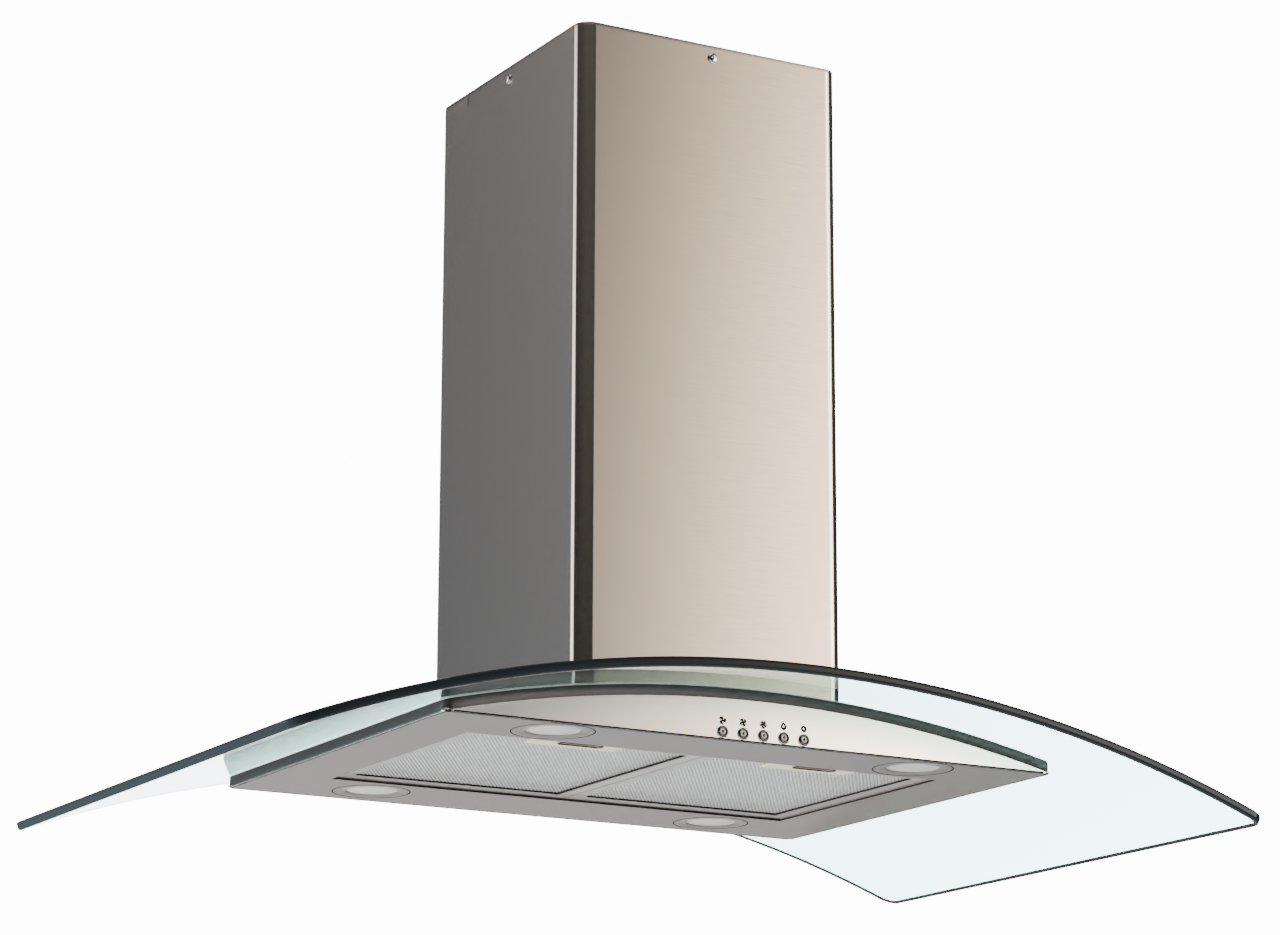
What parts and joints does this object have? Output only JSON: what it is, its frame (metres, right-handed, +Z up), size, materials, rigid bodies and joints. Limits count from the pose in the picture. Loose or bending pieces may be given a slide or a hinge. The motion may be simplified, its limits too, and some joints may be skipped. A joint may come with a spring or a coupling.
{
  "type": "curved glass range hood",
  "caption": "Ceiling-hung range hood: telescopic square chimney on an arched glass canopy, low steel body with lamps, tilting mesh filters, push buttons and a ducted blower.",
  "frame": {"origin": "centre of the ceiling bracket's upper face, where it meets the ceiling", "axes": "+Z up, +X to the right of a person who faces the switches, +Y away from that person"},
  "size_m": [0.9038, 0.576, 0.6643],
  "materials": {
    "stainless": "fine vertical-free brushed, satin",
    "sheet_steel": "plain zinc-coated sheet",
    "glass": "clear, polished edge",
    "clear_seal": "clear strip",
    "dark_trim": "satin dark grey",
    "grey_panel": "satin warm grey",
    "rubber": "matte black",
    "aluminium": "satin",
    "mesh": "layered mesh",
    "cream_plate": "cream, satin",
    "chrome": "polished",
    "lamp_lens": "frosted",
    "lamp_module": "white",
    "motor_paint": "black lacquer",
    "white_plastic": "white",
    "black_plastic": "black"
  },
  "bodies": {
    "ceiling_mount": {"ceiling_bracket": "sheet_steel", "upper_posts": "sheet_steel", "chimney_sleeve": "stainless"},
    "hood": {"glass_canopy": "glass", "glass_seal": "clear_seal", "edge_trim": "dark_trim", "front_fascia": "stainless", "rear_fascia": "stainless", "canopy_frame": "stainless", "underside_panel": "grey_panel", "cross_rails": "sheet_steel", "clamp_frame": "sheet_steel", "lower_gasket": "rubber", "upper_gasket": "rubber", "blower_base": "sheet_steel", "clamp_bolts": "sheet_steel", "clamp_nuts": "sheet_steel", "lower_posts": "sheet_steel", "post_bolts": "sheet_steel", "chimney_cover": "stainless", "chimney_screws": "chrome", "chimney_nuts": "sheet_steel", "suction_box": "sheet_steel", "suction_box_cover": "sheet_steel", "scroll_housing": "sheet_steel", "inlet_rings": "sheet_steel", "motor": "motor_paint", "motor_bracket": "sheet_steel", "capacitor": "white_plastic", "capacitor_clip": "sheet_steel", "outlet_spigot": "black_plastic", "wiring_box": "black_plastic", "cable_gland": "black_plastic", "lamp_driver": "white_plastic", "switch_block": "black_plastic", "button_bezels": "chrome", "lamp_bezels": "grey_panel", "lamp_lenses": "lamp_lens", "lamp_housings": "sheet_steel", "lamp_modules": "lamp_module"},
    "impeller": {"impeller_wheel": "sheet_steel", "motor_shaft": "sheet_steel"},
    "flap_front": {"flap_front": "black_plastic"},
    "flap_rear": {"flap_rear": "black_plastic"},
    "filter_left": {"filter_frame_left": "aluminium", "filter_mesh_left": "mesh", "latch_plate_left": "cream_plate"},
    "filter_right": {"filter_frame_right": "aluminium", "filter_mesh_right": "mesh", "latch_plate_right": "cream_plate"},
    "latch_left": {"filter_latch_left": "sheet_steel"},
    "latch_right": {"filter_latch_right": "sheet_steel"},
    "button_1": {"button_1": "chrome"},
    "button_2": {"button_2": "chrome"},
    "button_3": {"button_3": "chrome"},
    "button_4": {"button_4": "chrome"},
    "button_5": {"button_5": "chrome"}
  },
  "joints": [
    {"name": "height_adjust", "type": "slide", "parent": "ceiling_mount", "child": "hood", "axis": [0, 0, -1], "range_m": [0, 0.25]},
    {"name": "impeller_spin", "type": "hinge", "parent": "hood", "child": "impeller", "pos_m": [0, -0.009, -0.451], "axis": [1, 0, 0], "continuous": true},
    {"name": "flap_front_swing", "type": "hinge", "parent": "hood", "child": "flap_front", "pos_m": [0, -0.0025, -0.282], "axis": [-1, 0, 0], "range_deg": [0, 75]},
    {"name": "flap_rear_swing", "type": "hinge", "parent": "hood", "child": "flap_rear", "pos_m": [0, 0.0025, -0.282], "axis": [1, 0, 0], "range_deg": [0, 75]},
    {"name": "filter_left_swing", "type": "hinge", "parent": "hood", "child": "filter_left", "pos_m": [0, 0.1195, -0.618], "axis": [1, 0, 0], "range_deg": [0, 25]},
    {"name": "latch_left_slide", "type": "slide", "parent": "filter_left", "child": "latch_left", "axis": [0, 1, 0], "range_m": [0, 0.005], "stiffness_N_per_m": 300},
    {"name": "filter_right_swing", "type": "hinge", "parent": "hood", "child": "filter_right", "pos_m": [0, 0.1195, -0.618], "axis": [1, 0, 0], "range_deg": [0, 25]},
    {"name": "latch_right_slide", "type": "slide", "parent": "filter_right", "child": "latch_right", "axis": [0, 1, 0], "range_m": [0, 0.005], "stiffness_N_per_m": 300},
    {"name": "button_1_push", "type": "slide", "parent": "hood", "child": "button_1", "axis": [0, 1, 0], "range_m": [0, 0.002], "stiffness_N_per_m": 400},
    {"name": "button_2_push", "type": "slide", "parent": "hood", "child": "button_2", "axis": [0, 1, 0], "range_m": [0, 0.002], "stiffness_N_per_m": 400},
    {"name": "button_3_push", "type": "slide", "parent": "hood", "child": "button_3", "axis": [0, 1, 0], "range_m": [0, 0.002], "stiffness_N_per_m": 400},
    {"name": "button_4_push", "type": "slide", "parent": "hood", "child": "button_4", "axis": [0, 1, 0], "range_m": [0, 0.002], "stiffness_N_per_m": 400},
    {"name": "button_5_push", "type": "slide", "parent": "hood", "child": "button_5", "axis": [0, 1, 0], "range_m": [0, 0.002], "stiffness_N_per_m": 400}
  ]
}
